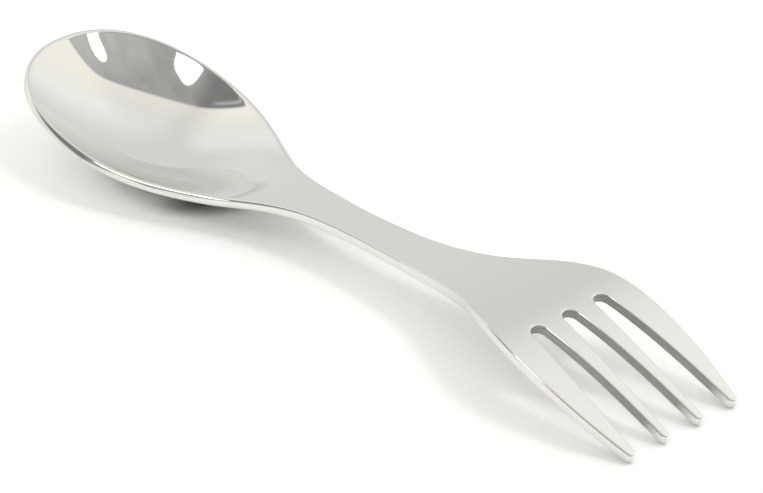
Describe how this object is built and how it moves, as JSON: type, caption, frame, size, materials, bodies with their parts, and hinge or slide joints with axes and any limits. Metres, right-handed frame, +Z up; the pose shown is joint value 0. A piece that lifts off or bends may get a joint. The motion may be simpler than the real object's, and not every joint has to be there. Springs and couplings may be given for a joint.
{
  "type": "spork",
  "caption": "One-piece steel eating tool: an oval spoon bowl at one end, a narrow flat shank and a curved fork with tines at the other end.",
  "frame": {"origin": "centre of the part's box in plan, on the table plane that the bowl's belly and the tines' tips rest on", "axes": "+X from the bowl to the tines, +Z up out of the bowl, mirror plane at Y = 0"},
  "size_m": [0.1708, 0.0416, 0.0171],
  "materials": {
    "steel": "polished in the bowl, satin on the shank and fork"
  },
  "bodies": {
    "root": {"spoon_bowl": "steel", "shank": "steel", "fork_head": "steel", "tine_1": "steel", "tine_2": "steel", "tine_3": "steel", "tine_4": "steel"}
  },
  "joints": []
}
